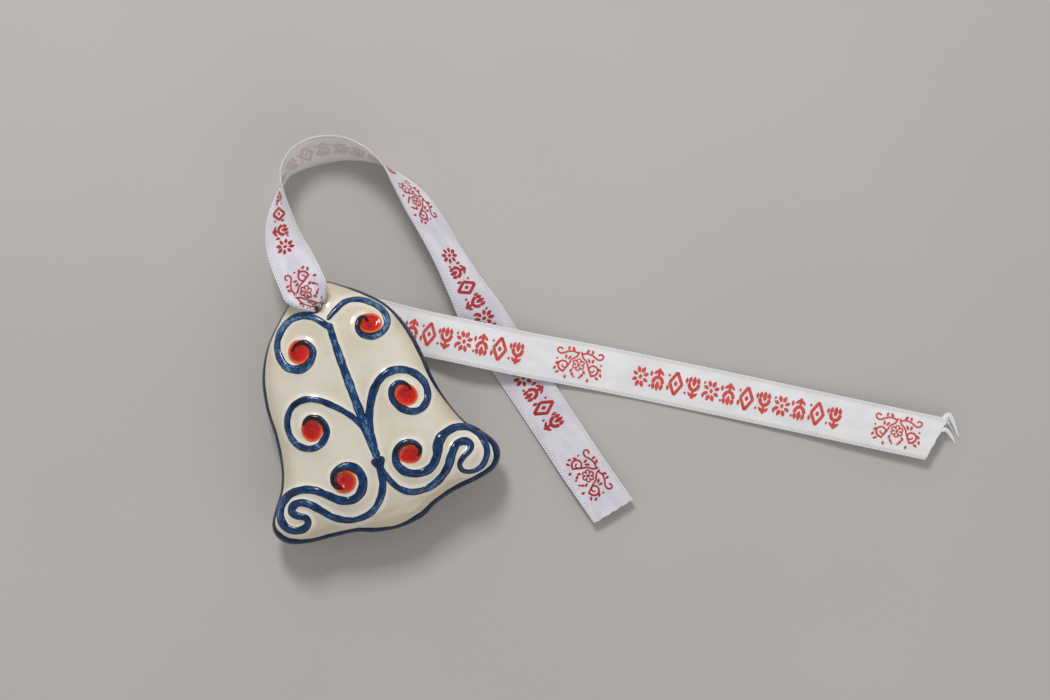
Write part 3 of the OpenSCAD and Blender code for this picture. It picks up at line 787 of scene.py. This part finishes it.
def sprig():
    """A mirrored spray of curls and leaves in thin lines, 17 by 10 mm."""
    shapes = [berry(0, 0.2, 0.6)]
    for a, c, d in spokes(6, 30):
        shapes.append(stroke(arc(1.45 * c, 0.2 + 1.45 * d, 0.72, a - 150, a + 150, 12), 0.42))
    for side in (-1, 1):
        turn = np.linspace(0, 1, 26)
        angle = math.pi * (0.5 + 2.6 * turn)
        r = 2.6 * (1 - 0.78 * turn)
        x, y = 5.2 - r * np.cos(angle) * 0.9, 1.2 + r * np.sin(angle) * 0.85
        shapes.append(stroke(np.stack([side * x, y], axis=1), np.interp(turn, [0, 1], [0.6, 0.4])))
        for stem in ([[0.8, -3.9], [2.6, -4.4], [4.6, -3.9], [6.4, -2.9], [7.8, -3.2], [8.2, -4.4],
                      [7.2, -5], [6.4, -4.4]],
                     [[0.4, -4.6], [1, -2.8], [2.6, -1.4], [3.6, 0.8], [5.2, 3.8]]):
            shapes.append(stroke(open_curve(np.array(stem) * [side, 1], 5), 0.5))
        shapes += leaves(side, 0.75, [(3, -2.7, 2, 60), (5, -2.9, 1.9, 100), (7, 0.2, 1.8, 40),
                                      (2.2, 3.1, 1.9, 120), (6.4, 3.6, 1.8, 30)])
        shapes += [berry(side * 7.9, -0.9, 0.4), berry(side, 4.9, 0.4)]
        shapes += leaves(side, 0.8, [(2, -4.6, 1.8, -50), (4.4, -4.4, 1.7, -100), (1.9, 1.9, 1.7, 60),
                                     (8, 1.9, 1.7, 70), (4.2, 4.6, 1.6, 100)])
    return [(p * [0.94, 0.9], 1.2 * w) for p, w in shapes]


def print_piece(name, strand, shapes, start, ink):
    """Thin strokes through the cloth: red on its face and a pale ghost on its reverse."""
    points, faces, slots = [], [], []
    lift = RIBBON_T / 2 + INK_T
    for p, w in shapes:
        q, _ = resample(np.column_stack([p, w]), 0.45, 2)
        if len(q) < 3:
            continue
        p, w = q[:, :2], q[:, 2]
        t = unit(np.gradient(p, axis=0))
        side = right_of(t) * w[:, None] / 2
        left, right = p - side, p + side
        corners = ((left, lift), (right, lift), (right, -lift), (left, -lift))
        ring = [strand.at(start + q[:, 0], q[:, 1], high) for q, high in corners]
        ring = np.stack(ring, axis=1)
        faces.extend(tube_faces(len(ring), 4, len(points)))
        points.extend(ring.reshape(-1, 3))
        slots.extend([0, 0, 1, 0] * (len(ring) - 1) + [0, 0])
    piece = make(name, points, faces, [ink, ink_ghost], face_slots=slots, crease=60)
    return settle(piece, "ribbon", "satin")


def nearest_s(strand, x, y):
    """How far along a ribbon it passes a place, leaving out its first points, in the hole."""
    return strand.s[np.argmin(apart(strand.middle, [x, y])[12:]) + 12]


# Where each spray stands along its ribbon, and where each border starts
first_front = front_strand.s[np.argmin(np.abs(front_strand.middle[:, 1] - 40.2)[:40])]
last_front, last_back = nearest_s(front_strand, 65.2, -47.8), nearest_s(back_strand, 164.9, -70.0)
# PRINT_FROM keeps the print out of the hole
PERIOD, MARGIN, PRINT_FROM = 108, 18, 14
sprays = {"front": [first_front, last_front - PERIOD, last_front],
          "back": [last_back - PERIOD, last_back]}
borders = {"front": [nearest_s(front_strand, -3.5, 54.3), last_front - PERIOD + MARGIN],
           "back": [last_back - 2 * PERIOD + MARGIN, last_back - PERIOD + MARGIN]}
prints = {"front": [], "back": []}
for strand, key in ((front_strand, "front"), (back_strand, "back")):
    for k, at in enumerate(sprays[key]):
        prints[key].append(print_piece(f"{key}_sprig_{k + 1}", strand, sprig(), at, inks[key]))
    for k, at in enumerate(borders[key]):
        shapes = [(p, w) for p, w in border() if at + p[:, 0].min() > PRINT_FROM]
        prints[key].append(print_piece(f"{key}_border_{k + 1}", strand, shapes, at, inks[key]))


# ---------------- loose threads at the cut end
def thread(name, points, width):
    """A few loose warp threads lying together: a thin strip that narrows to its end."""
    line, s = resample(open_curve(points, 8), 0.6)
    way = unit(np.gradient(line, axis=0))
    side = unit(np.cross(way, [0, 0, 1.0]))
    rise = np.cross(side, way)
    half = width / 2 * (1 - 0.75 * (s / s[-1]) ** 1.5)
    wide, high = circle(8)[1].T
    ring = (line[:, None] + side[:, None] * (half[:, None] * wide)[..., None]
            + rise[:, None] * (0.14 * high)[None, :, None])
    uv = np.stack(np.broadcast_arrays(s[:, None], wide * width / 2), axis=-1)
    piece = make(name, ring, tube_faces(len(line), 8), [satin_painted_brighter_for_sheen], uv, crease=60)
    return settle(piece, "ribbon", "satin")


threads = [
    thread("loose_threads_1", [[179.6, -73.8, 3.2], [181, -74.2, 3.1], [182, -76.2, 1.8],
                               [182.6, -79.8, 0.4]], 1.5),
    thread("loose_threads_2", [[181, -71, 3.3], [183.6, -69.8, 3], [184.3, -72.6, 1.8],
                               [184.5, -78.2, 0.4]], 1.7),
    thread("loose_threads_3", [[179.4, -71.6, 3.2], [181.6, -71.4, 3.2], [182.7, -72.6, 2.2],
                               [183.3, -75.6, 0.4]], 0.8),
]


# ---------------- the porcelain body
def spine(y):
    """The point of the middle line that a ring point at this height runs towards."""
    share = (BELL_H / 2 - y) / BELL_H
    down = SPINE_TOP + (SPINE_END - SPINE_TOP) * share
    return place(np.stack([np.zeros_like(y), down], axis=1))


def ring_shares(count, edge_rings):
    """Shares of the way to the spine: close together at the steep edge, and then even."""
    near = 1 - np.cos(np.linspace(0, 0.30, edge_rings))
    return np.concatenate([near[:-1], np.linspace(near[-1], 1, count - edge_rings + 2)[:-1]])


def shell(name, height, up, edge_rings=14, rings=96):
    shares = ring_shares(rings, edge_rings)
    middle = out_n // 2
    ends = spine(outline[:, 1])
    flat = crossing(outline, ends, shares).reshape(-1, 2)
    z = height(flat).reshape(len(shares), out_n)
    z[0] = SEAM_Z
    cap = ends[:middle + 1]
    skin = np.vstack([np.column_stack([flat, z.ravel()]), np.column_stack([cap, height(cap)])])
    # The lining follows the skin at the thickness of the wall
    few = 1 - np.cos(np.linspace(0, 1, 13)[:-1] * math.pi / 2)
    inner = crossing(moved_in(WALL), ends, few)
    rise = FRONT_RISE if up > 0 else SEAM_Z
    hollow = (rise - WALL) / rise

    def lined_z(lift):
        if up > 0:
            return SEAM_Z + FRONT_RISE * np.sqrt(lift) * hollow
        return SEAM_Z - np.minimum(BACK_DEPTH * lift ** BACK_POWER, SEAM_Z) * hollow

    rows = [lined_z(swell(row)) for row in crossing(outline, ends, few[1:])]
    inner_z = np.vstack([lined_z(np.zeros(out_n))] + rows)
    lining = np.vstack([np.column_stack([inner.reshape(-1, 2), inner_z.ravel()]),
                        np.column_stack([cap, lined_z(swell(cap))])])

    def layer(rows, start):
        faces = grid_faces(rows, out_n, start)
        last, tips = start + (rows - 1) * out_n, start + rows * out_n
        for i in range(out_n):
            j = (i + 1) % out_n
            a, b = (k if k <= middle else out_n - k for k in (i, j))
            if a == b:
                faces.append([last + i, last + j, tips + a])
            else:
                faces.append([last + i, last + j, tips + b, tips + a])
        return faces

    outer = layer(len(shares), 0)
    base = len(skin)
    lined = [f[::-1] for f in layer(len(few), base)]
    joint = [[(i + 1) % out_n, i, base + i, base + (i + 1) % out_n] for i in range(out_n)]
    faces = outer + lined + joint
    if up > 0:
        faces = [f[::-1] for f in faces]
    points = np.vstack([skin, lining])
    d = nearest(points[:, :2], line_cloud) if up > 0 else np.full(len(points), 9.0)
    down = BELL_H / 2 - points[:, 1]
    x = points[:, 0]
    # Paler glaze near the raised lines and the drop: partly white rim of the relief, partly painted
    # highlight
    pale_rim_and_painted_highlight = smooth(d, 3.0, 1.5) + smooth(apart(points, glaze_drop), 2.2, 0.8)
    # Painted shade for the glaze, carried by the "hollow" value: darker round the rim of the hole,
    # along the crease over the clapper, towards the steep edges and towards the bottom
    painted_shade = 0.6 * np.exp(-((apart(points, HOLE) - HOLE_R) / 0.8) ** 2)
    if up > 0:
        painted_shade += 0.5 * np.exp(-((down - 78.6 + 0.012 * x ** 2) / 0.55) ** 2) * np.exp(-(x / 9) ** 4)
    painted_shade += 0.75 * smooth(swell(points[:, :2]), 0.62, 0.1) + 0.7 * smooth(down, 68, 81)
    floats = {"hollow": np.clip(painted_shade, 0, 1), "pale_rim_and_painted_highlight": np.clip(pale_rim_and_painted_highlight, 0, 1)}
    piece = make(name, points, faces, [porcelain], floats=floats, crease=40)
    drill(piece)
    return piece


def drill(piece):
    """Cuts the hanging hole through a shell."""
    n = 64
    ring = HOLE + HOLE_R * circle(n)[1]
    points = np.vstack([np.column_stack([ring, np.full(n, z)]) for z in (-5.0, 40.0)])
    faces = grid_faces(2, n) + [list(range(n))[::-1], list(range(n, 2 * n))]
    cutter = make("hole_cutter", points, faces, [porcelain])
    cut = piece.modifiers.new("hole", "BOOLEAN")
    cut.operation, cut.solver, cut.object = "DIFFERENCE", "MANIFOLD", cutter
    graph = bpy.context.evaluated_depsgraph_get()
    done = bpy.data.meshes.new_from_object(piece.evaluated_get(graph))
    piece.modifiers.clear()
    piece.data = done
    bpy.data.objects.remove(cutter)
    done.set_sharp_from_angle(angle=math.radians(40))


settle(shell("porcelain_front", front_height, 1), "bell", "porcelain", "front_shell")
settle(shell("porcelain_back", back_height, -1, rings=72), "bell", "porcelain", "back_shell")


# ---------------- painted relief
def raised_line(name, node, route, widths, rise, material, slot):
    """A raised line along a route: rounded ends and a slightly uneven, hand-laid section."""
    fine = place_relief(open_curve(route, FINE))
    plan, s = resample(fine, 0.32, 2)
    n = len(plan)
    passed = np.interp(s, arc_lengths(fine), np.arange(len(fine)) / FINE)
    width = np.interp(passed, *zip(*widths))
    t = unit(np.gradient(plan, axis=0))
    side = right_of(t)
    phase = sum(map(ord, node)) % 7
    even = 1 + 0.05 * np.sin(s * 0.68 + phase) + 0.035 * np.sin(s * 1.55 + 2 * phase)
    reach = np.minimum(s, s[-1] - s)
    end = np.sqrt(1 - (1 - np.clip(reach / (width * 0.6), 0.02, 1)) ** 2)
    half = width / 2 * even * end
    a = np.radians(np.linspace(-90, 90, 13))
    u = np.sin(a)
    h = np.maximum(1 - np.abs(u) ** 3, 0) ** 0.6
    flat = plan[:, None] + side[:, None] * (u[None, :, None] * half[:, None, None])
    spots, normal = on_face(flat.reshape(-1, 2))
    normal = unit(0.4 * normal + [0, 0, 0.6])
    tall = (rise * end ** 0.6 * (1 + 0.08 * np.sin(s * 0.9 + phase)))[:, None] * h[None] - 0.05
    top = (spots + normal * tall.reshape(-1, 1)).reshape(n, len(a), 3)
    low = (spots - normal * SUNK).reshape(n, len(a), 3)[:, [-1, len(a) // 2, 0]]
    ring = np.concatenate([top, low], axis=1)
    m = ring.shape[1]
    uv = np.zeros((n, m, 2))
    uv[..., 0] = s[:, None]
    uv[:, :len(a), 1] = u * width[:, None] / 2
    uv[:, len(a):, 1] = np.array([1, 0, -1]) * width[:, None] / 2
    edge = np.zeros((n, m))
    edge[:, :len(a)] = smooth(np.abs(u), 0.45, 0.95)
    over = np.zeros((n, m))
    for key, c in dot_places.items():
        to = ring[..., :2] - c
        gap = norm(to, axis=-1) - dot_radius(key, np.arctan2(to[..., 1], to[..., 0]))
        over = np.maximum(over, smooth(gap, 0.9, 0.1))
    faces = [f[::-1] for f in tube_faces(n, m)]
    # The "hollow" value of 0.5 lays painted shade along the crease over the clapper; the cobalt lines
    # do not use it
    floats = {"light": np.full(n * m, line_light.get(node, 0)), "edge": edge,
              "over": over * (slot == "cobalt_glaze"), "hollow": np.full(n * m, 0.5)}
    return settle(make(name, ring, faces, [material], uv, floats, crease=75), "bell", slot, node)


LINE_RISE = 0.42
line_light = {"stem": 0.3, "scroll_upper_left": 0.35, "scroll_upper_right": 0.3}
for node, (route, widths) in lines.items():
    raised_line("painted_" + node, node, route, widths, LINE_RISE, cobalt, "cobalt_glaze")
raised_line("clapper_crease", "rim_crease", crease_route, [(0, 0.7), (2, 1.5), (4, 0.7)], 0.1,
            crease_glaze_with_painted_shade, "porcelain")


def boss(name, node, centre, radius, profile, material, slot):
    """A low dome: radius depends on the angle round it, profile on the share of the radius."""
    around, rings = 48, 12
    a, ring = circle(around)
    reach = radius(a)
    shares = np.sin(np.linspace(90, 0, rings + 1)[:-1] * math.pi / 180)
    plan = [centre + (share * reach)[:, None] * ring for share in shares]
    plan = np.vstack(plan + [centre[None]])
    spots, normal = on_face(plan)
    lift = np.append(np.repeat([profile(x) for x in shares], around), profile(0.0))
    top = spots + normal * lift[:, None]
    low = spots[:around] - normal[:around] * SUNK
    points = np.vstack([top, low, [spots[-1] - [0, 0, 0.5]]])
    tip = rings * around
    base = tip + 1
    faces = grid_faces(rings, around)
    for i in range(around):
        j = (i + 1) % around
        faces.append([(rings - 1) * around + i, (rings - 1) * around + j, tip])
        faces.append([j, i, base + i, base + j])
        faces.append([base + j, base + i, base + around])
    edge = np.concatenate([np.repeat(shares, around), [0], np.ones(around), [0]])
    piece = make(name, points, faces, [material], points[:, :2], {"edge": edge}, crease=75)
    return settle(piece, "bell", slot, node)


def dot_profile(share):
    return 0.3 * math.sqrt(max(1 - share ** 6, 0)) - 0.02 - 0.1 * math.exp(-(share / 0.6) ** 2)


for node, c in dot_places.items():
    boss("enamel_" + node, node, c, lambda a, node=node: dot_radius(node, a), dot_profile, red,
         "red_enamel")


def knot_radius(a):
    """A blot with three lobes, one of them below."""
    return 2.2 + 0.32 * np.sin(3 * a)


def knot_profile(share):
    return 0.8 * math.sqrt(max(1 - share ** 2.6, 0)) - 0.03


boss("painted_knot", "knot", knot_place, knot_radius, knot_profile, cobalt, "cobalt_glaze")


WALL_CLIMB, SEAM_PAINT_T = 4.1, 0.09


def painted_seam():
    """The paint round the seam: uneven widths on the front, and a narrow even edge on the back."""
    width = closed_curve([[w] for w in band_widths], OUT_STEPS)[:, 0]
    i = np.arange(out_n)
    ripple = 1 + 0.04 * np.sin(i * 0.21) * np.sin(i * 0.057 + 1) + 0.02 * np.sin(i * 0.63 + 2)
    seen = np.maximum(width * ripple, 0.3)
    # The band climbs a steep wall, so the camera sees it foreshortened on the far sides
    eye = np.array(camera.location) / MM
    tilt = ((outline - eye[:2]) * inward).sum(1) / eye[2]
    width = seen.copy()
    for _ in range(12):
        width = np.maximum((width + seen - tilt * WALL_CLIMB * np.sqrt(width)) / 2, 0.2)
    up_rows, down_rows = 12, 6
    rows = []
    lean = unit(np.column_stack([-inward, np.zeros(out_n)]))
    for k in range(-1, up_rows + 1):
        share = 1.03 if k < 0 else (1 - k / up_rows) ** 2
        spots, normal = on_face(moved_in(width * share) + inward * 0.012)
        normal = unit(normal * share ** 0.5 + lean * max(1 - share ** 0.5, 0))
        if k == up_rows:
            spots[:, 2] = SEAM_Z
            normal = lean
        lift = -0.2 if k < 0 else SEAM_PAINT_T
        rows.append(spots + normal * lift)
    for k in range(1, down_rows + 1):
        spots, _ = on_face(moved_in(0.02 + 0.3 * (k / down_rows) ** 2), back_height)
        rows.append(spots + lean * (SEAM_PAINT_T if k < down_rows else -0.03))
    rows.append(np.column_stack([moved_in(0.9), np.full(out_n, SEAM_Z - 1.2)]))
    rows.append(np.column_stack([moved_in(width + 0.5), front_height(moved_in(width + 0.3)) - 1]))
    ring = np.stack(rows, axis=1)
    m = ring.shape[1]
    faces = [f[::-1] for f in grid_faces(out_n, m)]
    faces += [[k, (k + 1) % m, (out_n - 1) * m + (k + 1) % m, (out_n - 1) * m + k] for k in range(m)]
    uv = np.zeros((out_n, m, 2))
    uv[..., 0] = arc_lengths(outline)[:, None]
    uv[..., 1] = np.arange(m) * 0.35
    floats = {"thin": np.repeat(0.75 * smooth(seen, 0.62, 0.38), m),
              "edge": np.full(out_n * m, 0.75)}
    piece = make("painted_seam", ring, faces, [cobalt_seam], uv, floats, crease=75)
    return settle(piece, "bell", "cobalt_glaze", "seam_band")


painted_seam()

# ---------------- floor and light
def floor_material():
    s = shader("pale_floor")
    where = s.place()
    tone = s.noise(where, 6, 2)
    grain = s.noise(where, 900, 2)
    colour = s.mix(s.between(tone, 0.3, 0.7), srgb(190, 187, 184), srgb(187, 184, 180))
    return s.finish(colour, 0.85, grain, 0.05, 0.00005, Specular_IOR_Level=0.2)


corners = np.array([[-1, -1, 0], [1, -1, 0], [1, 1, 0], [-1, 1, 0]]) * 2500
make("floor", corners, [[0, 1, 2, 3]], [floor_material()])


def soft_light(name, side, up, height, size, power):
    """An area light, placed to the side and up the picture, and towards the camera."""
    data = bpy.data.lights.new(name, "AREA")
    data.shape, data.energy = "RECTANGLE", power
    data.size, data.size_y = size
    light = bpy.data.objects.new(name, data)
    spot = Matrix.Rotation(VIEW_TURN, 3, "Z") @ Vector((side, up, height))
    light.location = spot + Vector((0.02, 0, 0.01))
    light.rotation_euler = (-spot).to_track_quat("-Z", "Y").to_euler()
    scene.collection.objects.link(light)


soft_light("key", -0.22, 0.88, 0.83, (0.28, 0.28), 8.3)
soft_light("fill", 0.72, -0.6, 0.4, (1.2, 0.6), 1.7)

world = bpy.data.worlds.new("studio")
sky = Nodes(world)
# The sky is a little darker overhead, where the camera is
up = sky.add("SeparateXYZ", {0: sky.add("TexCoord").outputs["Generated"]}).outputs[2]
glow = sky.add("Background", {0: (1, 0.995, 0.985), 1: sky.between(up, 0.2, 0.95, 0.66, 0.34)})
sky.add("OutputWorld", {0: glow.outputs[0]})
scene.world = world
scene.view_settings.view_transform = "Standard"
